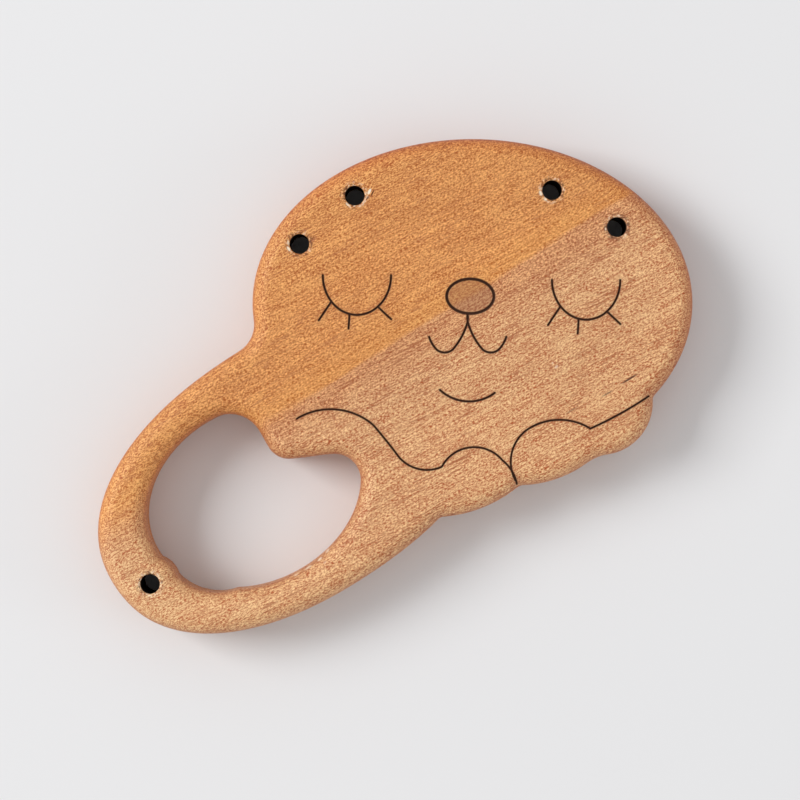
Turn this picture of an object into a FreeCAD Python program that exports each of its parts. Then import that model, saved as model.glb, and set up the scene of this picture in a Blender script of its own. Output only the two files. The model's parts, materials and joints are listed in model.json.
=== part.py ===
"""A flat wooden grasping rattle: an animal's head with a ring handle.

Two boards, front_half and back_half, are glued face to face.  Before gluing, three
straight round-ended runs are milled half into each board, and one loose wooden ball
is shut into each run.  The front carries an engraved sleeping face and fleece line.
Four holes along the brow take ear cords and one hole in the ring takes a tail strap.

Millimetres.  The rattle lies on its back: +Z is up, out of the engraved face, and
+X runs along the head's long way.  The origin is under the middle of the outline's
box, on the back face.
"""
import FreeCAD, Part
import math
import os

from FreeCAD import Vector

# ---- driving dimensions -------------------------------------------------------------
thickness = 14.0            # both boards together
edge_round = 3.2            # round-over on every front and back edge

head_width = 84.2           # oval head, along X
head_height = 62.8

handle_length = 83.7        # squared oval behind the ring, along its own long way
handle_width = 49.4
handle_squareness = 2.22    # 2 is an ellipse, more is squarer
handle_tilt = 33.3          # degrees, long way against X
handle_place = (-33.4, -31.3)   # handle's middle from the head's middle
neck_round = 6.0            # inside corner between head and handle

side_bar = 7.95             # wood left beside the ring's opening
tip_bar = 10.2              # wood left at the ring's far end
opening_length = 42.9
opening_tilt = 27.5         # degrees
opening_heel = (221, 11.0, 0.9)     # fuller lower end: degrees, radius, depth past the oval

chin_round = 4.4            # the chin's rounded tip, which enters the opening
chin_place = (6.75, 11.5)   # middle of that tip from the opening's middle
chin_side = 120.0           # degrees, run of the chin's side
chin_under = 6.5            # degrees, run of the chin's underside
chin_side_corner = 6.6      # opening's corner beside the chin
chin_under_corner = 5.0     # opening's corner under the chin

hole_diameter = 3.8         # the five cord holes
ear_holes = ((39.5, 7.5), (65.4, 7.5), (126.7, 5.45), (153.0, 5.4))  # degrees, inset
tail_hole_place = (-19.6, -16.7)    # tail hole from the opening's middle
boss_wall = 3.3             # wood round the tail hole where it enters the opening
boss_corner = 0.5

# fleece lobes: degrees round the head, radius, height above the head's oval
lobe_front = (310.8, 10.1, 4.4)
lobe_middle = (288.0, 22.2, 4.5)
lobe_rear = (255.5, 25.8, 10.3)
notch_rounds = (1.2, 9.0, 2.4, 1.4)     # inside corners, from the head round to the handle

ball_diameter = 6.4
ball_clearance = 0.3        # all round a ball in its run
run_length = 30.0
run_wall = 4.5              # wood between neighbouring runs
run_count = 3
run_place = (0.0, 2.0)      # middle of the runs from the head's middle

line_width = 0.45           # burnt lines of the face
line_depth = 0.3
nose_size = (9.0, 6.6)      # along the middle of its line
nose_line_width = 0.6
nose_sink = 0.12            # the nose's inside, lightly burnt down
nose_place = (-0.011, 0.039)    # in shares of the head's half width and half height
stem_length = 1.5           # short line under the nose
stem_shift = -0.5
lip = ((0.86, -2.34), (2.5, -4.95), (4.45, -5.93),      # from the stem's foot, in three arcs
       (6.28, -4.96), (6.89, -4.03), (7.34, -2.96))
smile = ((-5.8, -17.85), (-1.35, -19.97), (4.65, -18.42))   # from the nose's middle
eye_width = 13.0
eye_drop = 7.55
eye_places = ((-0.524, 0.166), (0.513, 0.137))
lashes = ((221.5, 236, 4.3), (257.5, 266, 2.8), (307.5, 317, 3.5))  # station, direction, length

# edge of the fleece: each sweep's start, middle and end, in shares of the head's halves
fleece_sweeps = (
    ((-0.796, -0.704), (-0.612, -0.649), (-0.449, -0.744)),
    ((-0.449, -0.744), (-0.398, -0.826), (-0.334, -0.937)),
    ((-0.334, -0.937), (-0.249, -1.008), (-0.140, -0.996)),
    ((-0.140, -0.996), (0.012, -0.877), (0.134, -0.956)),
    ((0.134, -0.956), (0.173, -1.013), (0.200, -1.100)),
    ((0.194, -1.080), (0.176, -0.915), (0.247, -0.770)),
    ((0.247, -0.770), (0.394, -0.711), (0.532, -0.764)),
    ((0.532, -0.764), (0.664, -0.676), (0.796, -0.568)),
)

# ---- sizes that follow --------------------------------------------------------------
head_size = (head_width, head_height)
opening_size = (opening_length, handle_width - 2 * side_bar)
hole_radius = hole_diameter / 2
ball_radius = ball_diameter / 2
run_radius = ball_radius + ball_clearance
run_pitch = 2 * run_radius + run_wall
glue_plane = thickness / 2
round_over = min(edge_round, 0.4 * side_bar, 0.4 * thickness)
boss_radius = hole_radius + boss_wall
overshoot = 1.0             # cutters stand this far past what they cut


# ---- plane helpers ------------------------------------------------------------------
def turned(x, y, degrees):
    """The point (x, y) turned about the origin."""
    c, s = math.cos(math.radians(degrees)), math.sin(math.radians(degrees))
    return (x * c - y * s, x * s + y * c)


def shifted(point, by):
    return (point[0] + by[0], point[1] + by[1])


def at(point, z=0.0):
    return Vector(point[0], point[1], z)


def along(start, degrees, length):
    """The point that lies length away from start, in the given direction."""
    return shifted(start, turned(length, 0, degrees))


def off_oval(size, degrees, height):
    """A point square to an oval's edge at that station, height outside the edge."""
    half_width, half_height = size[0] / 2, size[1] / 2
    c, s = math.cos(math.radians(degrees)), math.sin(math.radians(degrees))
    normal = Vector(c / half_width, s / half_height, 0).normalize()
    return (half_width * c + height * normal.x, half_height * s + height * normal.y)


def in_face(u, v):
    """A point of the drawing, in shares of the head's half width and half height."""
    return (u * head_width / 2, v * head_height / 2)


def prism(edges, bottom, top):
    """A closed flat outline pushed up from bottom to top."""
    face = Part.Face(Part.Wire(edges))
    face.translate(Vector(0, 0, bottom))
    return face.extrude(Vector(0, 0, top - bottom))


def oval_prism(size, middle, tilt, bottom, top):
    oval = Part.Ellipse(Vector(0, 0, 0), max(size) / 2, min(size) / 2).toShape()
    turn = tilt if size[0] >= size[1] else tilt + 90
    oval.rotate(Vector(0, 0, 0), Vector(0, 0, 1), turn)
    oval.translate(at(middle))
    return prism([oval], bottom, top)


def squared_oval_prism(size, squareness, middle, tilt, bottom, top, stations=24):
    """A superellipse, |x/a|^n + |y/b|^n = 1, as one smooth closed curve."""
    points = []
    for step in range(stations):
        c = math.cos(2 * math.pi * step / stations)
        s = math.sin(2 * math.pi * step / stations)
        x = size[0] / 2 * math.copysign(abs(c) ** (2 / squareness), c)
        y = size[1] / 2 * math.copysign(abs(s) ** (2 / squareness), s)
        points.append(at(shifted(turned(x, y, tilt), middle)))
    curve = Part.BSplineCurve()
    curve.interpolate(Points=points, PeriodicFlag=True)
    return prism([curve.toShape()], bottom, top)


def post(middle, radius, bottom, top):
    return Part.makeCylinder(radius, top - bottom, at(middle, bottom))


def corner_edges(solid, first, second):
    """The upright edges of a prism that lie on the outlines of both pieces."""
    found = []
    for edge in solid.Edges:
        low, high = edge.Vertexes[0].Point, edge.Vertexes[-1].Point
        upright = math.hypot(low.x - high.x, low.y - high.y) < 1e-6
        if upright and abs(low.z - high.z) > 1e-6:
            spot = Part.Vertex(edge.CenterOfMass)
            gaps = [spot.distToShape(piece.Shells[0])[0] for piece in (first, second)]
            if max(gaps) < 1e-3:
                found.append(edge)
    return found


def round_corners(solid, first, second, radius):
    return solid.makeFillet(radius, corner_edges(solid, first, second))


# ---- outline ------------------------------------------------------------------------
def lobe(station, radius, height):
    """One bump of the fleece, standing height above the head's oval."""
    return post(off_oval(head_size, station, height - radius), radius, 0, thickness)


def outer_board():
    """Head, fleece lobes and handle as one board with rounded inside corners."""
    head = oval_prism(head_size, (0, 0), 0, 0, thickness)
    handle = squared_oval_prism((handle_length, handle_width), handle_squareness,
                                handle_place, handle_tilt, 0, thickness)
    front, middle, rear = (lobe(*size) for size in (lobe_front, lobe_middle, lobe_rear))
    board = head.fuse([front, middle, rear, handle]).removeSplitter()
    board = round_corners(board, head, handle, neck_round)
    chain = (head, front, middle, rear, handle)
    for first, second, radius in zip(chain, chain[1:], notch_rounds):
        board = round_corners(board, first, second, radius)
    return board


def opening_middle():
    """The opening lies on the handle's long axis, tip_bar in from its far end."""
    inset = (opening_length - handle_length) / 2 + tip_bar
    return along(handle_place, handle_tilt, inset)


def opening_cutter():
    """The ring's opening, with the chin and the tail hole's boss left standing."""
    low, high = -overshoot, thickness + overshoot
    middle = opening_middle()
    oval = oval_prism(opening_size, middle, opening_tilt, low, high)
    station, radius, depth = opening_heel
    heel_place = turned(*off_oval(opening_size, station, depth - radius), opening_tilt)
    oval = oval.fuse(post(shifted(middle, heel_place), radius, low, high)).removeSplitter()

    tip = shifted(middle, chin_place)
    side = along(tip, chin_side + 90, chin_round)
    under = along(tip, chin_under - 90, chin_round)
    turn = math.radians(chin_side - chin_under)
    corner = along(under, chin_under + 180, chin_round / math.tan(turn / 2))
    reach = opening_length
    outline = [corner, along(corner, chin_under, reach),
               along(along(corner, chin_under, reach), chin_side, reach),
               along(corner, chin_side, reach)]
    chin = prism(Part.makePolygon([at(p) for p in outline + outline[:1]]).Edges, low, high)
    tip_edge = min((e for e in chin.Edges if abs(e.Length - (high - low)) < 1e-6),
                   key=lambda e: e.CenterOfMass.distanceToPoint(at(corner, glue_plane)))
    chin = chin.makeFillet(chin_round, [tip_edge])

    boss = post(tail_hole(), boss_radius, low, high)
    cutter = oval.cut(chin.fuse(boss))
    by_side = sorted(corner_edges(cutter, oval, chin), key=lambda e: e.CenterOfMass.x)
    cutter = cutter.makeFillet(chin_side_corner, by_side[:1])
    by_side = sorted(corner_edges(cutter, oval, chin), key=lambda e: e.CenterOfMass.x)
    cutter = cutter.makeFillet(chin_under_corner, by_side[-1:])
    return round_corners(cutter, oval, boss, boss_corner)


# ---- holes --------------------------------------------------------------------------
def tail_hole():
    return shifted(opening_middle(), tail_hole_place)


def hole_places():
    ears = [off_oval(head_size, station, -inset) for station, inset in ear_holes]
    return ears + [tail_hole()]


# ---- ball runs ----------------------------------------------------------------------
def run_middles():
    first = -(run_count - 1) / 2
    return [shifted(run_place, (0, (first + row) * run_pitch)) for row in range(run_count)]


def ball_run(middle):
    """A straight run along X with round ends, centred on the glue plane."""
    straight = run_length - 2 * run_radius
    left = Vector(middle[0] - straight / 2, middle[1], glue_plane)
    right = left + Vector(straight, 0, 0)
    tube = Part.makeCylinder(run_radius, straight, left, Vector(1, 0, 0))
    ends = [Part.makeSphere(run_radius, end) for end in (left, right)]
    return tube.fuse(ends)


def ball(middle):
    return Part.makeSphere(ball_radius, at(middle, glue_plane))


# ---- engraving ----------------------------------------------------------------------
def groove(arcs):
    """A curved line of the drawing: a flat-bottomed groove with round ends."""
    face = Part.Wire(arcs).makeOffset2D(line_width / 2, fill=True)
    face.translate(Vector(0, 0, thickness - line_depth))
    return face.extrude(Vector(0, 0, line_depth + overshoot))


def straight_groove(start, direction, length, width=line_width):
    """A straight line of the drawing, as one groove with round ends."""
    bottom, top = thickness - line_depth, thickness + overshoot
    end = along(start, direction, length)
    across = turned(0, width / 2, direction)
    back = (-across[0], -across[1])
    corners = [shifted(start, across), shifted(start, back), shifted(end, back),
               shifted(end, across), shifted(start, across)]
    bar = prism(Part.makePolygon([at(p) for p in corners]).Edges, bottom, top)
    return bar.fuse([post(p, width / 2, bottom, top) for p in (start, end)])


def arc_line(start, middle, end):
    return Part.Arc(at(start), at(middle), at(end)).toShape()


def ring_groove(size, middle, width):
    bottom, top = thickness - line_depth, thickness + overshoot
    outside = oval_prism([s + width for s in size], middle, 0, bottom, top)
    return outside.cut(oval_prism([s - width for s in size], middle, 0, bottom, top))


def closed_eye(middle):
    """A lowered lid, half an oval, with its lashes below it."""
    lid_size = (eye_width, 2 * eye_drop)
    below = Part.makeBox(2 * eye_width, 2 * eye_width, 2 * thickness,
                         at(shifted(middle, (-eye_width, -2 * eye_width))))
    pieces = [ring_groove(lid_size, middle, line_width).common(below)]
    for station, direction, length in lashes:
        root = shifted(middle, off_oval(lid_size, station, 0))
        pieces.append(straight_groove(root, direction, length))
    return pieces


def nose_and_mouth(nose):
    """An oval nose, the short stem under it, two curved lips and a small smile."""
    stem_top = shifted(nose, (stem_shift, -nose_size[1] / 2))
    stem_foot = shifted(stem_top, (0, -stem_length))
    recess = oval_prism(nose_size, nose, 0, thickness - nose_sink, thickness + overshoot)
    pieces = [recess, ring_groove(nose_size, nose, nose_line_width)]
    pieces.append(straight_groove(stem_foot, 90, stem_length, nose_line_width))
    for side in (-1, 1):
        points = [stem_foot] + [shifted(stem_foot, (side * x, y)) for x, y in lip]
        pieces.append(groove([arc_line(*points[first:first + 3]) for first in (0, 2, 4)]))
    pieces.append(groove([arc_line(*(shifted(nose, offset) for offset in smile))]))
    return pieces


def engraving():
    pieces = nose_and_mouth(in_face(*nose_place))
    for place in eye_places:
        pieces += closed_eye(in_face(*place))
    for sweep in fleece_sweeps:
        pieces.append(groove([arc_line(*(in_face(*point) for point in sweep))]))
    return pieces[0].fuse(pieces[1:])


# ---- assembly -----------------------------------------------------------------------
def blank():
    """The glued board before engraving: outline, opening, round-over and holes."""
    board = outer_board().cut(opening_cutter())
    rims = [e for e in board.Edges
            if e.BoundBox.ZLength < 1e-6
            and min(e.BoundBox.ZMin, thickness - e.BoundBox.ZMax) < 1e-6]
    board = board.makeFillet(round_over, rims)
    holes = [post(p, hole_radius, -overshoot, thickness + overshoot) for p in hole_places()]
    return board.cut(holes)


def main():
    board = blank().cut([engraving()] + [ball_run(p) for p in run_middles()])
    box = board.optimalBoundingBox(False, False)
    home = Vector(-box.Center.x, -box.Center.y, 0)

    slab = Part.makeBox(4 * head_width, 4 * head_width, glue_plane,
                        Vector(-2 * head_width, -2 * head_width, 0))
    parts = {"back_half": board.common(slab)}
    slab.translate(Vector(0, 0, glue_plane))
    parts["front_half"] = board.common(slab)
    for number, middle in enumerate(run_middles(), 1):
        parts["ball_%d" % number] = ball(middle)

    os.makedirs("parts", exist_ok=True)
    for name, shape in parts.items():
        shape.translate(home)
        shape.exportStep("parts/%s.step" % name)
        solid_box = shape.optimalBoundingBox(False, False)
        print("%-11s %d solid, %8.1f mm3, %.2f x %.2f x %.2f" % (
            name, len(shape.Solids), shape.Volume,
            solid_box.XLength, solid_box.YLength, solid_box.ZLength))
    for name, points in (("hole", hole_places()), ("ball", run_middles())):
        for point in points:
            print("%s at %.3f, %.3f" % (name, point[0] + home.x, point[1] + home.y))
    print("ball travel each way %.2f" % (run_length / 2 - ball_radius))


main()
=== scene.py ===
"""Looks of the flat wooden rattle: two glued boards, their drawing, holes and wood.

The boards are rebuilt as fine meshes on the outline of the CAD boards.  Lengths below
are in millimetres; meshes are made in metres, in the frame of the CAD model.
"""
import json
import math

import bmesh
import bpy
import numpy as np
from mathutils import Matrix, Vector, geometry, kdtree


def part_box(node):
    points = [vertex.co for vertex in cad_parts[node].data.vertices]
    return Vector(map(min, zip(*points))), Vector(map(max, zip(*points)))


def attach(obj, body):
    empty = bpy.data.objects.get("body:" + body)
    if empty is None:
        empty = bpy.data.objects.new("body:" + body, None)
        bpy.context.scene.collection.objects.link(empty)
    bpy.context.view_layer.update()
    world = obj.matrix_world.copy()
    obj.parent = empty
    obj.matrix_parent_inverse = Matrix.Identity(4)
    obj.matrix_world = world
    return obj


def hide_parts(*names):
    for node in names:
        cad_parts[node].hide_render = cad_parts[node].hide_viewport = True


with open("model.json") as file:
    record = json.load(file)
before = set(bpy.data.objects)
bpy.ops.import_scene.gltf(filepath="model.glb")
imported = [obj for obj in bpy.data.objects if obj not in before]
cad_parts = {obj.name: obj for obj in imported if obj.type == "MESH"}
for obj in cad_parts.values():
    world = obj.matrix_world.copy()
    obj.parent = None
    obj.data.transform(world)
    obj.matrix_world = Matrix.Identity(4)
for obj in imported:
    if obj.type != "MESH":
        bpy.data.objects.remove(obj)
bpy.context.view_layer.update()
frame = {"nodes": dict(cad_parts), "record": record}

MM = 0.001

# ---- sizes, mm ----------------------------------------------------------------------
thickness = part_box("front_half")[1].z / MM
glue_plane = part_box("front_half")[0].z / MM
edge_round = 3.2
head_middle = np.array([14.789, 15.930])
head_half = np.array([42.1, 31.4])
run_radius = 3.5
run_length = 30.0
hole_edge = 0.18           # how far a hole's rim is rubbed down
hole_edge_reach = 1.6      # and how far out, in shares of that
nose_sink = 0.12

# ---- burnt drawing, mm --------------------------------------------------------------
line_width = 0.42
lash_share = 0.95          # widths in shares of line_width
fleece_share = 0.92
line_depth = 0.3
nose_half = (4.5, 3.3)
nose_line_width = 0.54
nose_place = (-0.011, 0.039)        # places in shares of the head's half sizes
stem_shift = -0.5
stem_length = 1.5
lip = ((0.86, -2.34), (2.5, -4.95), (4.45, -5.93), (6.28, -4.96), (6.89, -4.03), (7.34, -2.96))
smile = ((-5.8, -17.85), (-1.35, -19.97), (4.65, -18.42))
eye_half = (6.5, 7.55)
eye_places = ((-0.524, 0.166), (0.513, 0.137))
lashes = ((221.5, 236, 4.3), (257.5, 266, 2.8), (307.5, 317, 3.5))
fleece_sweeps = (
    ((-0.796, -0.704), (-0.612, -0.649), (-0.449, -0.744)),
    ((-0.449, -0.744), (-0.398, -0.826), (-0.334, -0.937)),
    ((-0.334, -0.937), (-0.249, -1.008), (-0.140, -0.996)),
    ((-0.140, -0.996), (0.012, -0.877), (0.134, -0.956)),
    ((0.134, -0.956), (0.173, -1.013), (0.200, -1.100)),
    ((0.194, -1.080), (0.176, -0.915), (0.247, -0.770)),
    ((0.247, -0.770), (0.394, -0.711), (0.532, -0.764)),
    ((0.532, -0.764), (0.664, -0.676), (0.796, -0.568)),
)

# where each side starts and ends: of a line in its half widths, of the nose in shares of
# its half sizes, of a mark in shares of it, of a hole's frayed rim in mm from the hole
groove_side = (0.45, 1.15)
burn_side = (0.80, 1.30)
nose_dip_side = (0.93, 1.0)
nose_scorch_side = (0.96, 1.03)
mark_side = (0.35, 1.0)
fray_side = (0.15, 1.1)
line_scorch = 0.8
scorch_reach = 0.35

# ---- mesh fineness, mm --------------------------------------------------------------
loop_step = 0.35
fine_step = 0.05
line_step = 0.2
grid_step = 1.1
grid_clear = 0.55          # in shares of grid_step
glue_step = 2.2
glue_clear = 1.0
mark_step = 0.1
nose_step = 0.35
run_step = 1.0
least_face_gap = 0.055
least_glue_gap = 0.05
least_edge_gap = 0.04
groove_rows = (-2.6, -1.7, -1.25, -0.9, -0.5, 0, 0.5, 0.9, 1.25, 1.7, 2.6)   # half widths
groove_end_rings = (0.5, 0.9, 1.25, 1.7)
rim_rings = (0.05, 0.12, 0.2, 0.3, 0.45, 0.7, 1.0)     # out from a hole's rim
round_rings = 10
run_rows = 7               # from a hollow's deepest line to its edge
wall_rows = 4
hole_sides = 72
run_end_sides = 48
groove_end_sides = 14
sharp_angle = 58           # degrees

# ---- camera, mm ---------------------------------------------------------------------
view_middle = (0.915, -2.615)
view_width = 152.38
camera_height = 650.0


# ---- closed loops -------------------------------------------------------------------
def cad_loops(node):
    """The CAD board's closed edges on the glue plane, longest first, in mm."""
    mesh = frame["nodes"][node].data
    mesh.calc_loop_triangles()
    co = np.array([v.co for v in mesh.vertices]) / MM
    on_plane = np.abs(co[:, 2] - glue_plane) < 1e-4
    keys = [tuple(k) for k in np.round(co[:, :2], 4)]
    links = {}
    for tri in mesh.loop_triangles:
        flat = [i for i in tri.vertices if on_plane[i]]
        if len(flat) == 2 and keys[flat[0]] != keys[flat[1]]:
            first, second = keys[flat[0]], keys[flat[1]]
            links.setdefault(first, []).append(second)
            links.setdefault(second, []).append(first)
    loops = []
    while links:
        start = next(iter(links))
        loop, spot = [start], links.pop(start)[0]
        while spot != start:
            ways = links.pop(spot)
            loop.append(spot)
            spot = ways[0] if ways[0] != loop[-2] else ways[1]
        loops.append(np.array(loop))
    loops.sort(key=lambda points: -np.ptp(points, axis=0).max())
    return loops


def signed_area(loop):
    ahead = np.roll(loop, -1, 0)
    return 0.5 * np.sum(loop[:, 0] * ahead[:, 1] - loop[:, 1] * ahead[:, 0])


def smooth_loop(points, step):
    """Evenly spaced points on the smooth closed curve through the given points."""
    n = len(points)
    if signed_area(points) < 0:
        points = points[::-1]
    span = np.linalg.norm(np.roll(points, -1, 0) - points, axis=1)
    before = np.roll(span, 1)
    matrix = np.diag(2 * (span + before))
    rows = np.arange(n)
    matrix[rows, (rows - 1) % n] += before
    matrix[rows, (rows + 1) % n] += span
    slope = (np.roll(points, -1, 0) - points) / span[:, None]
    bend = np.linalg.solve(matrix, 6 * (slope - np.roll(slope, 1, 0)))
    curve = []
    for i in range(n):
        j = (i + 1) % n
        h = span[i]
        t = np.linspace(0, h, max(2, int(h / (step / 4))), endpoint=False)[:, None]
        curve.append(bend[i] * (h - t) ** 3 / (6 * h) + bend[j] * t ** 3 / (6 * h)
                     + (points[i] / h - bend[i] * h / 6) * (h - t)
                     + (points[j] / h - bend[j] * h / 6) * t)
    curve = np.concatenate(curve)
    closed = np.vstack([curve, curve[:1]])
    length = np.concatenate([[0], np.cumsum(np.linalg.norm(np.diff(closed, axis=0), axis=1))])
    stations = np.linspace(0, length[-1], int(length[-1] / step), endpoint=False)
    return np.stack([np.interp(stations, length, closed[:, k]) for k in (0, 1)], axis=1)


def loop_normals(loop):
    """Unit normals to the left of the loop's run."""
    tangent = np.roll(loop, -1, 0) - np.roll(loop, 1, 0)
    tangent /= np.linalg.norm(tangent, axis=1)[:, None]
    return np.stack([-tangent[:, 1], tangent[:, 0]], axis=1)


def inside_loop(points, loop):
    """Which points lie inside the closed loop, by crossings of a ray along X."""
    x, y = points[:, 0], points[:, 1]
    inside = np.zeros(len(points), bool)
    ahead = np.roll(loop, -1, 0)
    for (x0, y0), (x1, y1) in zip(loop, ahead):
        if y0 != y1:
            crosses = (y0 > y) != (y1 > y)
            inside ^= crosses & (x < x0 + (y - y0) * (x1 - x0) / (y1 - y0))
    return inside


def distance_to(points, lines):
    """Each point's distance to the nearest of some polylines, and that line's number."""
    tree = kdtree.KDTree(sum(len(line) for line, closed in lines))
    owner, ends = [], []
    for number, (line, closed) in enumerate(lines):
        last = len(line) - 1
        for i, spot in enumerate(line):
            tree.insert((spot[0], spot[1], 0), len(owner))
            owner.append(number)
            back = line[i - 1] if i or closed else spot
            on = line[(i + 1) % len(line)] if i < last or closed else spot
            ends.append((*back, *spot, *on))
    tree.balance()
    nearest = np.array([tree.find((p[0], p[1], 0))[1] for p in points])
    ends = np.array(ends)[nearest]
    gap = np.full(len(points), np.inf)
    for first, second in ((ends[:, 0:2], ends[:, 2:4]), (ends[:, 2:4], ends[:, 4:6])):
        run = second - first
        size = np.maximum((run ** 2).sum(1), 1e-12)
        share = np.clip(((points - first) * run).sum(1) / size, 0, 1)
        spot = first + run * share[:, None]
        gap = np.minimum(gap, np.linalg.norm(points - spot, axis=1))
    return gap, np.array(owner)[nearest]


# ---- the drawing --------------------------------------------------------------------
def in_face(u, v):
    return head_middle + head_half * (u, v)


def arc(first, middle, last, step=line_step):
    """Points along the circle's arc through three points."""
    (ax, ay), (bx, by), (cx, cy) = first, middle, last
    d = 2 * (ax * (by - cy) + bx * (cy - ay) + cx * (ay - by))
    a2, b2, c2 = ax * ax + ay * ay, bx * bx + by * by, cx * cx + cy * cy
    centre = np.array([(a2 * (by - cy) + b2 * (cy - ay) + c2 * (ay - by)) / d,
                       (a2 * (cx - bx) + b2 * (ax - cx) + c2 * (bx - ax)) / d])
    start, through, end = (math.atan2(*(np.array(p) - centre)[::-1])
                           for p in (first, middle, last))
    turn = (end - start) % (2 * math.pi)
    if (through - start) % (2 * math.pi) > turn:
        turn -= 2 * math.pi
    radius = math.dist(centre, first)
    angles = start + np.linspace(0, turn, max(3, int(abs(turn) * radius / step)))
    return centre + radius * np.stack([np.cos(angles), np.sin(angles)], axis=1)


def oval_arc(middle, half, start, end, step=line_step):
    count = int(math.radians(end - start) * max(half) / step)
    angles = np.radians(np.linspace(start, end, count))
    return middle + np.stack([half[0] * np.cos(angles), half[1] * np.sin(angles)], axis=1)


def straight(first, last, step=line_step):
    share = np.linspace(0, 1, max(2, int(math.dist(first, last) / step)))[:, None]
    return np.array(first) * (1 - share) + np.array(last) * share


def drawing():
    """The burnt lines: [(points, width, closed)], in mm."""
    lines = []
    nose = in_face(*nose_place)
    lines.append((oval_arc(nose, nose_half, 0, 360)[:-1], nose_line_width, True))
    stem_top = nose + (stem_shift, -nose_half[1])
    foot = stem_top - (0, stem_length)
    lines.append((straight(stem_top, foot), nose_line_width, False))
    for side in (-1, 1):
        points = [foot] + [foot + (side * x, y) for x, y in lip]
        sweep = np.vstack([arc(*points[first:first + 3]) for first in (0, 2, 4)])
        sweep = sweep[np.append(True, np.linalg.norm(np.diff(sweep, axis=0), axis=1) > 1e-6)]
        lines.append((sweep, line_width, False))
    lines.append((arc(*(nose + offset for offset in smile)), line_width, False))
    for place in eye_places:
        eye = in_face(*place)
        lines.append((oval_arc(eye, eye_half, 180, 360), line_width, False))
        for station, direction, length in lashes:
            a, b = math.radians(station), math.radians(direction)
            root = eye + (eye_half[0] * math.cos(a), eye_half[1] * math.sin(a))
            tip = root + (length * math.cos(b), length * math.sin(b))
            lines.append((straight(root, tip), line_width * lash_share, False))
    for sweep in fleece_sweeps:
        lines.append((arc(*(in_face(*p) for p in sweep)), line_width * fleece_share, False))
    return lines


# ---- sheets -------------------------------------------------------------------------
def triangulate(polylines, points, outer, openings):
    """Triangles over the plane region inside outer and outside the openings, with
    every polyline kept as edges.  Polylines are (points, closed)."""
    coords, edges = [], []
    for line, closed in polylines:
        first = len(coords)
        coords.extend(line)
        edges.extend((first + i, first + i + 1) for i in range(len(line) - 1))
        if closed:
            edges.append((len(coords) - 1, first))
    coords.extend(points)
    made = geometry.delaunay_2d_cdt([Vector(p) for p in coords], edges, [], 0, 1e-5)
    flat = np.array([tuple(v) for v in made[0]])
    tris = np.array([tuple(f) for f in made[2]])
    middles = flat[tris].mean(1)
    keep = inside_loop(middles, outer)
    for opening in openings:
        keep &= ~inside_loop(middles, opening)
    tris = tris[keep]
    used, tris = np.unique(tris, return_inverse=True)
    return flat[used], tris.reshape(-1, 3)


def boundary_edges(tris):
    count = {}
    for tri in tris:
        for a, b in ((tri[0], tri[1]), (tri[1], tri[2]), (tri[2], tri[0])):
            count.setdefault(frozenset((a, b)), []).append((a, b))
    return [ways[0] for ways in count.values() if len(ways) == 1]


def circle(middle, radius, count):
    angles = np.linspace(0, 2 * math.pi, count, endpoint=False)
    return middle + radius * np.stack([np.cos(angles), np.sin(angles)], axis=1)


def hex_grid(low, high, step):
    """Points of a triangular grid over a box."""
    rows = []
    row_step = step * math.sqrt(3) / 2
    for number, y in enumerate(np.arange(low[1], high[1], row_step)):
        x = np.arange(low[0] + (number % 2) * step / 2, high[0], step)
        rows.append(np.stack([x, np.full(len(x), y)], axis=1))
    return np.concatenate(rows)


def clear_of(points, lines, gap):
    near, _ = distance_to(points, lines)
    return points[near > gap]


class Outline:
    """The board's loops, in mm: coarse ones for edges and fine ones for distances."""

    def __init__(self):
        outer, opening = cad_loops("front_half")[:2]
        self.fine = [smooth_loop(outer, fine_step), smooth_loop(opening, fine_step)]
        stride = int(round(loop_step / fine_step))
        self.loops = [loop[::stride] for loop in self.fine]
        self.normals = [loop_normals(loop)[::stride] for loop in self.fine]
        self.normals[1] = -self.normals[1]
        self.holes = {m["name"]: (np.array(m["pos_m"][:2]) / MM, m["dims"]["r_mm"])
                      for m in frame["record"]["mounts"] if m["kind"] == "bore"}

    def rings(self):
        """Loops set in from the outer edge and the opening, finer near the edge."""
        lines = []
        for loop, normal in zip(self.loops, self.normals):
            for k in range(round_rings + 1):
                inset = edge_round * (1 - math.cos(math.pi / 2 * k / round_rings))
                lines.append((loop + normal * inset, True))
        return lines

    def inset(self, points):
        gap, _ = distance_to(points, [(loop, True) for loop in self.fine])
        return gap


outline = Outline()


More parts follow.
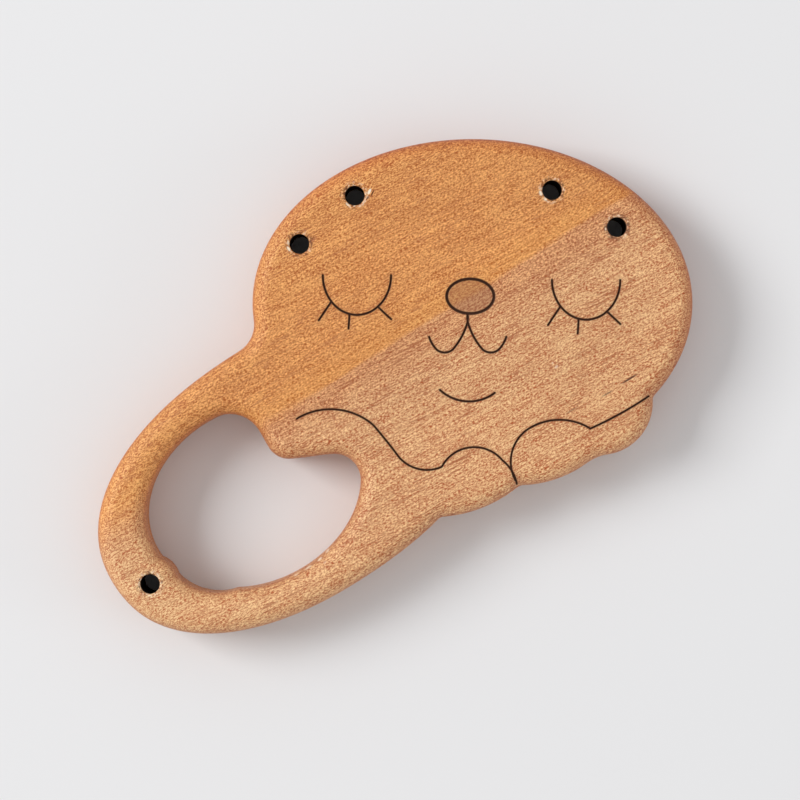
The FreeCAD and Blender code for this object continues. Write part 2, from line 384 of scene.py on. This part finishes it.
# ---- chips and marks at the holes ---------------------------------------------------
# for each hole: direction from its middle in degrees, distance of the mark's middle from
# the rim, length, width, turn of its long side, depth, tone (1 pale, -1 dark)
marks = {
    "ear_hole_right_inner": (
        (195, 0.35, 1.5, 0.8, 110, 0.16, 0.8),
        (235, 0.30, 1.0, 0.6, 150, 0.14, 0.7),
        (15, 0.10, 0.7, 0.4, 100, 0.10, -0.4)),
    "ear_hole_left_inner": (
        (15, 1.00, 1.7, 0.75, 62, 0.03, 1.0),
        (8, 1.55, 1.9, 0.28, 66, 0.22, -1.0),
        (350, 0.65, 1.1, 0.28, 48, 0.16, -0.9),
        (232, 0.30, 1.1, 0.6, 140, 0.15, 0.7),
        (268, 0.10, 0.6, 0.35, 10, 0.12, 0.8),
        (178, 0.75, 1.3, 0.6, 85, 0.12, -0.45)),
    "ear_hole_right_outer": (
        (190, 0.30, 0.9, 0.5, 100, 0.14, 0.6),),
    "ear_hole_left_outer": (
        (20, 0.85, 1.9, 0.7, 30, 0.13, -0.35),
        (205, 0.35, 1.6, 0.75, 125, 0.16, 0.8),
        (170, 0.30, 0.9, 0.5, 80, 0.12, 0.6)),
    "tail_hole": (
        (172, 0.15, 0.5, 0.3, 85, 0.10, 1.0),
        (195, 0.20, 0.6, 0.3, 110, 0.16, -0.9),
        (155, 0.20, 0.5, 0.3, 60, 0.16, -0.9),
        (8, 0.45, 0.9, 0.6, 95, 0.12, -0.5)),
}


# marks away from the holes: place, length, width, turn, depth, tone
blemishes = (
    ((30.7, 3.7), 1.3, 0.8, 40, 0.0, 0.45),
    ((30.0, 4.4), 0.7, 0.5, 95, 0.0, 0.40),
    ((44.6, 1.4), 5.2, 0.55, 31, 0.03, -0.8),
    ((40.4, -1.4), 3.4, 0.45, 30, 0.02, -0.6),
    ((33.6, -4.6), 4.4, 0.40, 32, 0.02, -0.5),
    ((-16.6, -34.6), 2.2, 0.6, 34, 0.0, 0.5),
    ((-14.4, -33.0), 1.7, 0.5, 42, 0.0, 0.6),
    ((-12.9, -31.4), 1.5, 0.6, 50, 0.0, 0.5),
    ((-18.9, -36.0), 1.6, 0.5, 28, 0.0, 0.4),
    ((-13.4, -33.6), 1.2, 0.4, 45, 0.0, 0.4))


def ease(edge0, edge1, x):
    t = np.clip((x - edge0) / (edge1 - edge0), 0, 1)
    return t * t * (3 - 2 * t)


def pointing(degrees):
    return np.array([math.cos(math.radians(degrees)), math.sin(math.radians(degrees))])


def mark_places(holes):
    """Each mark as (middle, direction of its long side, half length, half width, ...)."""
    for hole, (middle, radius) in holes.items():
        for direction, gap, length, width, turn, depth, tone in marks[hole]:
            spot = middle + (radius + gap) * pointing(direction)
            yield spot, pointing(turn), length / 2, width / 2, depth, tone
    for spot, length, width, turn, depth, tone in blemishes:
        yield np.array(spot), pointing(turn), length / 2, width / 2, depth, tone


def mark_share(points, spot, along, half_length, half_width):
    """0 outside an oval mark, rising to 1 in its middle."""
    offset = points - spot
    u = offset @ along / half_length
    v = (offset @ np.array([-along[1], along[0]])) / half_width
    return 1 - ease(*mark_side, np.hypot(u, v))


# ---- a board ------------------------------------------------------------------------
class Surface:
    """Height and burn marks of a board's outer face, over points in mm."""

    def __init__(self, outline, lines):
        self.outline = outline
        self.lines = lines

    def drop(self, inset):
        """How far the rounded edge has fallen below the flat face."""
        reach = edge_round - np.minimum(inset, edge_round)
        return edge_round - np.sqrt(edge_round ** 2 - reach ** 2)

    def hole_wear(self, points):
        low = np.zeros(len(points))
        for middle, radius in self.outline.holes.values():
            gap = np.linalg.norm(points - middle, axis=1) - radius
            low += hole_edge * (1 - ease(0, hole_edge * hole_edge_reach, gap))
        return low

    def burning(self, points):
        """Depth, burn and scorch of the drawing.  The nose is scorched all over."""
        gap, owner = distance_to(points, [(p, closed) for p, w, closed in self.lines])
        half = np.array([w for p, w, closed in self.lines])[owner] / 2
        reach = np.linalg.norm((points - in_face(*nose_place)) / nose_half, axis=1)
        low = line_depth * (1 - ease(*groove_side, gap / half))
        low += nose_sink * (1 - ease(*nose_dip_side, reach))
        burn = 1 - ease(*burn_side, gap / half)
        beside = line_scorch * np.exp(-gap / scorch_reach)
        scorch = np.maximum(1 - ease(*nose_scorch_side, reach), beside)
        return low, burn, scorch

    def damage(self, points):
        """Depth and tone of the chips and marks."""
        low, tone = np.zeros(len(points)), np.zeros(len(points))
        for spot, along, half_length, half_width, depth, value in mark_places(self.outline.holes):
            share = mark_share(points, spot, along, half_length, half_width)
            low += depth * share
            tone += value * share
        return low, tone

    def measure(self, points):
        """Height, burn, scorch and tone.  Only the face with the drawing has marks."""
        low = self.drop(self.outline.inset(points)) + self.hole_wear(points)
        burn, scorch, tone = np.zeros((3, len(points)))
        if self.lines:
            line_low, burn, scorch = self.burning(points)
            mark_low, tone = self.damage(points)
            low += line_low + mark_low
        return thickness - low, burn, scorch, tone


def line_rows(lines):
    """Rows of points beside each burnt line, so that its groove has a shape."""
    rows = []
    for points, width, closed in lines:
        closed_line = np.vstack([points, points[:1]]) if closed else points
        length = np.linalg.norm(np.diff(closed_line, axis=0), axis=1)
        tangent = np.gradient(closed_line, axis=0)
        tangent /= np.linalg.norm(tangent, axis=1)[:, None]
        normal = np.stack([-tangent[:, 1], tangent[:, 0]], axis=1)
        for share in groove_rows:
            rows.append(closed_line + normal * width / 2 * share)
        if not closed:
            for end in (points[0], points[-1]):
                for share in groove_end_rings:
                    rows.append(circle(end, width / 2 * share, groove_end_sides))
    return np.concatenate(rows)


def thin_out(points, gap):
    """The points in their order, without those closer than gap to an earlier one."""
    cells = {}
    kept = []
    for p in points:
        i, j = int(p[0] // gap), int(p[1] // gap)
        near = (q for a in (-1, 0, 1) for b in (-1, 0, 1) for q in cells.get((i + a, j + b), ()))
        if all((p[0] - q[0]) ** 2 + (p[1] - q[1]) ** 2 >= gap * gap for q in near):
            cells.setdefault((i, j), []).append(p)
            kept.append(p)
    return np.array(kept)


def face_sheet(outline, lines):
    """The outer face's points and triangles in the plane."""
    fixed = [(loop, True) for loop in outline.loops]
    rims = [circle(middle, radius, hole_sides) for middle, radius in outline.holes.values()]
    fixed += [(rim, True) for rim in rims]
    points = [line_rows(lines)] if lines else []
    for middle, radius in outline.holes.values():
        for gap in rim_rings:
            points.append(circle(middle, radius + gap, hole_sides))
    if lines:
        for spot, along, half_length, half_width, depth, tone in mark_places(outline.holes):
            points.append(hex_grid(spot - half_length - mark_step,
                                   spot + half_length + mark_step, mark_step))
        nose = in_face(*nose_place)
        points.append(hex_grid(nose - nose_half, nose + nose_half, nose_step))
    points.append(np.concatenate([line for line, closed in outline.rings()[1:]
                                  if not any(line is loop for loop in outline.loops)]))
    grid = hex_grid(outline.loops[0].min(0), outline.loops[0].max(0), grid_step)
    points = np.concatenate(points)
    grid = clear_of(grid, [(points, False)], grid_step * grid_clear)
    points = thin_out(np.concatenate([points, grid]), least_face_gap)
    points = clear_of(points, fixed, least_edge_gap)
    return triangulate(fixed, points, outline.loops[0], [outline.loops[1]] + rims)


def run_middles():
    """The three hollows' middle lines in the glue plane, from the balls' places."""
    for name in sorted(frame["nodes"]):
        if name.startswith("ball"):
            low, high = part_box(name)
            middle = np.array((low + high)[:2]) / 2 / MM
            half = run_length / 2 - run_radius
            yield np.array([middle - (half, 0), middle + (half, 0)])


def glue_sheet(outline):
    """The glued face: flat, with a half-round hollow for each ball."""
    fixed = [(loop, True) for loop in outline.loops]
    rims = [circle(middle, radius, hole_sides) for middle, radius in outline.holes.values()]
    fixed += [(rim, True) for rim in rims]
    points = []
    runs = list(run_middles())
    for first, last in runs:
        along = straight(first, last, run_step)
        for k in range(run_rows):
            out = run_radius * math.sin(math.radians(90 * k / (run_rows - 1)))
            caps = circle(np.zeros(2), out, run_end_sides) if k else np.zeros((1, 2))
            points.append(np.concatenate([along + (0, out), along - (0, out),
                                          caps[caps[:, 0] >= 0] + last,
                                          caps[caps[:, 0] <= 0] + first]))
    grid = hex_grid(outline.loops[0].min(0), outline.loops[0].max(0), glue_step)
    points = np.concatenate(points)
    grid = clear_of(grid, [(points, False)] + fixed, glue_clear)
    points = thin_out(np.concatenate([points, grid]), least_glue_gap)
    flat, tris = triangulate(fixed, points, outline.loops[0], [outline.loops[1]] + rims)
    gap, _ = distance_to(flat, [(run, False) for run in runs])
    height = np.sqrt(np.maximum(run_radius ** 2 - gap ** 2, 0))
    height[np.abs(gap - run_radius) < 1e-3] = 0
    return flat, tris, glue_plane + height


def add_walls(mesh, flat, tris, top, height, base_at):
    """The walls from the face's edges down to the glue plane."""
    columns = {}

    def column(index):
        """The wall's vertices below a point of the face's edge, from face to glue."""
        if index not in columns:
            x, y = flat[index]
            stations = np.linspace(height[index], glue_plane, wall_rows + 1)[1:-1]
            middle = [mesh.verts.new((x * MM, y * MM, z * MM)) for z in stations]
            columns[index] = [top[index]] + middle + [base_at[tuple(np.round((x, y), 5))]]
        return columns[index]

    for a, b in boundary_edges(tris):
        for upper, lower in zip(zip(column(a), column(b)),
                                zip(column(a)[1:], column(b)[1:])):
            mesh.faces.new((upper[1], upper[0], lower[0], lower[1]))


def bore_walls(made, outline, face_count):
    """1 at the vertices of the hole walls below the face, 0 elsewhere."""
    spots = np.array([v.co for v in made.vertices])[:, :2] / MM
    bore = np.zeros(len(spots))
    for middle, radius in outline.holes.values():
        bore = np.maximum(bore, np.linalg.norm(spots - middle, axis=1) < radius + 0.02)
    bore[:face_count] = 0
    return bore


def fraying(outline, flat):
    """1 at the holes' rims, falling to 0 about a millimetre out."""
    fray = np.zeros(len(flat))
    for middle, radius in outline.holes.values():
        gap = np.linalg.norm(flat - middle, axis=1) - radius
        fray = np.maximum(fray, 1 - ease(*fray_side, gap))
    return fray


def add_layer(made, label, values, rest=0.0):
    """A float at each vertex; the vertices after the given values get rest."""
    full = np.full(len(made.vertices), rest)
    full[:len(values)] = values
    layer = made.attributes.new(label, "FLOAT", "POINT")
    layer.data.foreach_set("value", full)


def board(name, outline, lines, side):
    """A closed board: outer face, glued face and the walls between them.

    side is 1 for the front board and -1 for the back one, which is its mirror image
    across the glue plane."""
    flat, tris = face_sheet(outline, lines)
    height, burn, scorch, tone = Surface(outline, lines).measure(flat)
    under, under_tris, under_height = glue_sheet(outline)
    mesh = bmesh.new()
    top = [mesh.verts.new((x * MM, y * MM, z * MM)) for (x, y), z in zip(flat, height)]
    base = [mesh.verts.new((x * MM, y * MM, z * MM)) for (x, y), z in zip(under, under_height)]
    for a, b, c in tris:
        mesh.faces.new((top[a], top[b], top[c]))
    for a, b, c in under_tris:
        mesh.faces.new((base[c], base[b], base[a]))
    base_at = {tuple(np.round(p, 5)): v for p, v in zip(under, base)}
    add_walls(mesh, flat, tris, top, height, base_at)
    made = bpy.data.meshes.new(name)
    mesh.to_mesh(made)
    mesh.free()
    for label, values in (("burn", burn), ("scorch", scorch), ("tone", tone),
                          ("bore", bore_walls(made, outline, len(flat))),
                          ("fray", fraying(outline, flat))):
        add_layer(made, label, values)
    add_layer(made, "edge", ease(edge_round, 0.0, outline.inset(flat)), 1.0)
    if side < 0:
        for vertex in made.vertices:
            vertex.co.z = thickness * MM - vertex.co.z
        made.flip_normals()
    made.polygons.foreach_set("use_smooth", [True] * len(made.polygons))
    made.set_sharp_from_angle(angle=math.radians(sharp_angle))
    piece = bpy.data.objects.new(name, made)
    bpy.context.collection.objects.link(piece)
    return piece


# ---- material nodes -----------------------------------------------------------------
class Nodes:
    """Short ways to add shader nodes to a material's tree."""

    def __init__(self, name):
        self.material = bpy.data.materials.new(name)
        self.material.use_nodes = True
        self.tree = self.material.node_tree
        self.shader = self.tree.nodes["Principled BSDF"]
        place = self.tree.nodes.new("ShaderNodeTexCoord").outputs["Object"]
        self.place = self.scaled(place, (1 / MM,) * 3)

    def add(self, kind, inputs, **settings):
        node = self.tree.nodes.new(kind)
        for key, value in settings.items():
            setattr(node, key, value)
        for key, value in inputs.items():
            if isinstance(value, bpy.types.NodeSocket):
                self.tree.links.new(value, node.inputs[key])
            else:
                node.inputs[key].default_value = value
        return node

    def scaled(self, vector, scale):
        node = self.add("ShaderNodeVectorMath", {0: vector, 1: scale}, operation="MULTIPLY")
        return node.outputs[0]

    def shifted(self, vector, offset):
        return self.add("ShaderNodeVectorMath", {0: vector, 1: offset}).outputs[0]

    def turned(self, vector, degrees, tilt=0.0):
        angles = (math.radians(tilt), 0, math.radians(-degrees))
        node = self.add("ShaderNodeMapping", {"Vector": vector, "Rotation": angles})
        return node.outputs[0]

    def noise(self, vector, scale, detail=2.0, rough=0.5):
        node = self.add("ShaderNodeTexNoise", {
            "Vector": self.scaled(vector, scale), "Scale": 1.0,
            "Detail": detail, "Roughness": rough})
        return node.outputs["Fac"]

    def math(self, operation, a, b=0.0, c=0.0):
        node = self.add("ShaderNodeMath", {0: a, 1: b, 2: c}, operation=operation)
        return node.outputs[0]

    def spread(self, value, low, high, to_low=0.0, to_high=1.0, smooth=True):
        kind = "SMOOTHSTEP" if smooth else "LINEAR"
        node = self.add("ShaderNodeMapRange", {
            "Value": value, "From Min": low, "From Max": high,
            "To Min": to_low, "To Max": to_high}, interpolation_type=kind)
        return node.outputs["Result"]

    def mix(self, share, first, second, blend="MIX"):
        node = self.tree.nodes.new("ShaderNodeMix")
        node.data_type = "RGBA"
        node.blend_type = blend
        sockets = {s.identifier: s for s in node.inputs}
        for key, value in (("Factor_Float", share), ("A_Color", first), ("B_Color", second)):
            if isinstance(value, bpy.types.NodeSocket):
                self.tree.links.new(value, sockets[key])
            else:
                sockets[key].default_value = value if key[0] == "F" else (*value, 1.0)
        return next(s for s in node.outputs if s.identifier == "Result_Color")

    def tint(self, share, colour, filter_colour):
        """The colour seen through a coloured filter, by share."""
        return self.mix(share, colour, self.mix(1.0, colour, filter_colour, "MULTIPLY"))

    def dot(self, vector, direction):
        node = self.add("ShaderNodeVectorMath", {0: vector, 1: direction},
                        operation="DOT_PRODUCT")
        return node.outputs["Value"]

    def attribute(self, name):
        node = self.tree.nodes.new("ShaderNodeAttribute")
        node.attribute_name = name
        return node.outputs["Fac"]

    def bump(self, height, strength, distance):
        node = self.add("ShaderNodeBump", {
            "Height": height, "Strength": strength, "Distance": distance})
        self.tree.links.new(node.outputs[0], self.shader.inputs["Normal"])


# ---- wood ---------------------------------------------------------------------------
grain_turn = 31.7                       # degrees from X; noise scales are per mm
grain_tilt = 4.0                        # degrees out of the board's plane
streak_turn = 26.0
tone_line_place = (2.2, 9.9)            # a point of the line between the two tones, mm
crossing_fibres = ((24.0, (1.8, 7.0, 7.0)), (50.0, (2.2, 7.0, 7.0)))
dot_scale = (6.5, 6.5, 6.5)
dot_share = 0.35
long_fibre_turn = 29.0
long_fibre_scale = (0.28, 3.4, 3.4)
long_fibre_share = 0.65
fibre_range = (1.23, 1.77)              # sums of the noises that are dark and light
dash_scale = (0.26, 3.8, 3.8)
dash_range = (0.53, 0.66)
row_scale = (0.05, 0.34, 0.34)
row_range = (0.40, 0.62, 0.1, 1.0)
dash_strength = (0.80, 0.55)            # below and above the tone line
wobble_scale = (0.03, 0.2, 0.2)
wobble_range = (0.3, 0.7, -0.9, 0.9)    # moves the tone line by up to 0.9 mm
honey_range = (0.2, 7.0, 0.6, 0.0)      # from and to mm above the line, and the shares
amber_range = (-10.0, 0.0, 0.0, 0.9)
line_blur = (0.6, 6.0)                  # half width of the tone line on head and handle
blur_run = (-18.0, -48.0)               # where along the grain the blur grows
worn_run = (-30.0, -55.0)               # where the handled wood grows paler
worn_share = 0.07
# the way across the board in which the painted shade on the crown's edge grows
painted_shade_way = (0.5, 0.87, 0.0)

# each tone of the wood as its dark and light fibres
orange = ((0.400, 0.084, 0.006), (0.970, 0.480, 0.155))
honey = ((0.520, 0.130, 0.009), (0.970, 0.500, 0.150))
rose = ((0.430, 0.076, 0.009), (0.985, 0.650, 0.325))
amber = ((0.330, 0.060, 0.008), (0.940, 0.500, 0.220))
streak = (0.40, 0.110, 0.033)
crown_edge_painted_shade = (0.86, 0.66, 0.54)          # painted shade taken off the crown's rounded edge, on the side away from the key light
wall_shade_and_pores_tone = (0.84, 0.70, 0.64)           # and what painted shade on the walls takes, together with the open pores of their end grain
raw_wood = (0.97, 0.82, 0.62)
torn_dark = (0.10, 0.03, 0.012)
# painted shade: the near-black colour given to the deep holes' walls
bore_painted_shade = (0.020, 0.008, 0.004)
char = (0.042, 0.013, 0.004)
scorched = (0.30, 0.12, 0.055)
fibre_rough = (0.60, 0.44)              # roughness of dark and light fibres
char_rough = 0.95
wood_ior = 1.45
bump_strength = 0.45
bump_height = 0.0001                    # metres


def fibres(n, place):
    """Fine interwoven fibres, 0 in the dark ones and 1 in the light ones."""
    flat, steep = (n.noise(n.turned(place, turn), scale, 0.0) for turn, scale in crossing_fibres)
    dots = n.math("MULTIPLY", n.noise(place, dot_scale, 0.0, 0.6), dot_share)
    long = n.noise(n.turned(place, long_fibre_turn), long_fibre_scale, 1.0)
    long = n.math("MULTIPLY", long, long_fibre_share)
    total = n.math("ADD", n.math("ADD", flat, steep), n.math("ADD", dots, long))
    return n.spread(total, *fibre_range, smooth=False)


def two_tones(n, tone_offset):
    """Shares of the upper, orange wood, of the honey above the line, of the amber below
    it, and of the paler wood on the handle."""
    grain = n.turned(n.place, grain_turn, grain_tilt)
    origin = (-tone_line_place[0], -tone_line_place[1], 0)
    along, across, _ = n.add("ShaderNodeSeparateXYZ", {
        0: n.turned(n.shifted(n.place, origin), grain_turn)}).outputs
    wobble = n.noise(grain, wobble_scale, 3.0)
    side = n.math("ADD", across, n.spread(wobble, *wobble_range, smooth=False))
    side = n.math("ADD", side, tone_offset)
    upper = n.spread(n.math("DIVIDE", side, n.spread(along, *blur_run, *line_blur)), -1.0, 1.0)
    honey_share = n.math("MULTIPLY", upper, n.spread(side, *honey_range))
    amber_share = n.spread(side, *amber_range)
    return upper, honey_share, amber_share, n.spread(along, *worn_run)


def streaks(n, place, grain, upper):
    """Reddish pore dashes gathered in rows along the grain, 0 to 1."""
    dash = n.noise(n.turned(place, streak_turn, grain_tilt), dash_scale, 1.0, 0.6)
    rows = n.noise(grain, row_scale, 2.0)
    share = n.math("MULTIPLY", n.spread(dash, *dash_range), n.spread(rows, *row_range))
    return n.math("MULTIPLY", share, n.spread(upper, 0, 1, *dash_strength))


def clean_wood(n, place, tone_offset):
    """The wood's colour before any wear, and its fibres."""
    grain = n.turned(place, grain_turn, grain_tilt)
    upper, honey_share, amber_share, worn = two_tones(n, tone_offset)
    fibre = n.math("MULTIPLY_ADD", worn, worn_share, fibres(n, place))
    lower = [n.mix(amber_share, rose[k], amber[k]) for k in (0, 1)]
    tones = [n.mix(honey_share, n.mix(upper, lower[k], orange[k]), honey[k]) for k in (0, 1)]
    colour = n.mix(streaks(n, place, grain, upper), n.mix(fibre, *tones), streak)
    broad = n.noise(grain, (0.03, 0.11, 0.11), 2.0)
    level = n.spread(broad, 0.25, 0.75, 0.93, 1.03, False)
    grey = n.add("ShaderNodeCombineXYZ", {0: level, 1: level, 2: level}).outputs[0]
    return n.mix(1.0, colour, grey, "MULTIPLY"), fibre


def worn_and_shaded_wood(n, place, colour):
    """Painted shade on the crown's edge, painted shade and open pores on the walls, frayed hole
    rims.
    """
    edge = n.attribute("edge")
    # painted shade: the crown's rounded edge darkened on the side away from the key light
    crown = n.spread(n.dot(n.place, painted_shade_way), 12.0, 34.0)
    colour = n.tint(n.math("MULTIPLY", edge, crown), colour, crown_edge_painted_shade)
    # partly painted shade, partly the open pores of the end grain: the walls and the edge just
    # above them darkened
    colour = n.tint(n.spread(edge, 0.88, 1.0), colour, wall_shade_and_pores_tone)
    ragged = n.noise(place, (1.6, 1.6, 1.6), 2.0, 0.65)
    fray = n.attribute("fray")
    pale = n.math("MULTIPLY", fray, n.spread(ragged, 0.54, 0.64, 0.0, 0.6))
    dark = n.math("MULTIPLY", fray, n.spread(ragged, 0.52, 0.40, 0.0, 0.85))
    return n.mix(dark, n.mix(pale, colour, raw_wood), torn_dark)


def marked_wood(n, colour):
    """Scorched and burnt lines, pale and dark marks, hole walls painted near black as shade."""
    colour = n.mix(n.math("MULTIPLY", n.attribute("scorch"), 0.5), colour, scorched)
    colour = n.mix(n.spread(n.attribute("tone"), 0.0, 0.9), colour, raw_wood)
    colour = n.mix(n.spread(n.attribute("tone"), 0.0, -0.9), colour, torn_dark)
    # painted shade: the hole walls turned near black
    colour = n.mix(n.attribute("bore"), colour, bore_painted_shade)
    return n.mix(n.attribute("burn"), colour, char)


def wood(name, shift, tone_offset):
    """Fine-pored wood in two tones; shift picks another stretch of the same tree."""
    n = Nodes(name)
    place = n.shifted(n.place, shift)
    colour, fibre = clean_wood(n, place, tone_offset)
    colour = marked_wood(n, worn_and_shaded_wood(n, place, colour))
    n.tree.links.new(colour, n.shader.inputs["Base Color"])
    gloss = n.spread(fibre, 0.2, 0.8, *fibre_rough, False)
    for label in ("burn", "bore"):
        gloss = n.math("MAXIMUM", gloss, n.math("MULTIPLY", n.attribute(label), char_rough))
    n.tree.links.new(gloss, n.shader.inputs["Roughness"])
    n.shader.inputs["IOR"].default_value = wood_ior
    n.bump(fibre, bump_strength, bump_height)
    return n.material


# ---- stage --------------------------------------------------------------------------
floor_half = 2.5                        # metres
floor_colour = (0.82, 0.82, 0.83, 1)
sky_strength = 0.58
light_distance = 3.0                    # metres
# name, azimuth and elevation in degrees, size in metres, power in watts
lights = (("key", 163, 39, 1.4, 58.0), ("fill", 350, 15, 1.2, 9.5))


def add_floor():
    mesh = bpy.data.meshes.new("floor")
    s = floor_half
    mesh.from_pydata([(-s, -s, 0), (s, -s, 0), (s, s, 0), (-s, s, 0)], [], [(0, 1, 2, 3)])
    floor = bpy.data.objects.new("floor", mesh)
    bpy.context.collection.objects.link(floor)
    n = Nodes("floor")
    n.shader.inputs["Base Color"].default_value = floor_colour
    n.shader.inputs["Roughness"].default_value = 0.9
    n.shader.inputs["Specular IOR Level"].default_value = 0.1
    mesh.materials.append(n.material)


def add_light(name, azimuth, elevation, size, power):
    """A square soft light aimed at the origin."""
    data = bpy.data.lights.new(name, "AREA")
    data.energy, data.size = power, size
    light = bpy.data.objects.new(name, data)
    a, e = math.radians(azimuth), math.radians(elevation)
    aim = Vector((math.cos(a) * math.cos(e), math.sin(a) * math.cos(e), math.sin(e)))
    light.location = aim * light_distance
    light.rotation_euler = aim.to_track_quat("Z", "Y").to_euler()
    bpy.context.collection.objects.link(light)


def add_camera():
    """Straight above the board, as the photographer stood."""
    data = bpy.data.cameras.new("camera")
    camera = bpy.data.objects.new("camera", data)
    data.sensor_width = 36
    data.lens = camera_height * data.sensor_width / view_width
    camera.location = (view_middle[0] * MM, view_middle[1] * MM,
                       (thickness + camera_height) * MM)
    bpy.context.collection.objects.link(camera)
    bpy.context.scene.camera = camera


def add_world():
    world = bpy.data.worlds.new("studio")
    world.use_nodes = True
    sky = world.node_tree.nodes["Background"]
    sky.inputs["Color"].default_value = (1.0, 1.0, 1.0, 1)
    sky.inputs["Strength"].default_value = sky_strength
    bpy.context.scene.world = world


def main():
    lines = drawing()
    front_wood = wood("front_wood", (0.0, 0.0, 0.0), 0.0)
    back_wood = wood("back_wood", (37.0, -55.0, 21.0), 12.0)
    front = board("front_board", outline, lines, 1)
    back = board("back_board", outline, [], -1)
    for piece, node, finish in ((front, "front_half", front_wood), (back, "back_half", back_wood)):
        piece.data.materials.append(finish)
        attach(piece, "boards")
        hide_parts(node)
    for name, ball in frame["nodes"].items():
        if name.startswith("ball"):
            ball.material_slots[0].material = back_wood
    add_floor()
    add_world()
    for light in lights:
        add_light(*light)
    add_camera()
    bpy.context.scene.view_settings.view_transform = "Standard"


main()
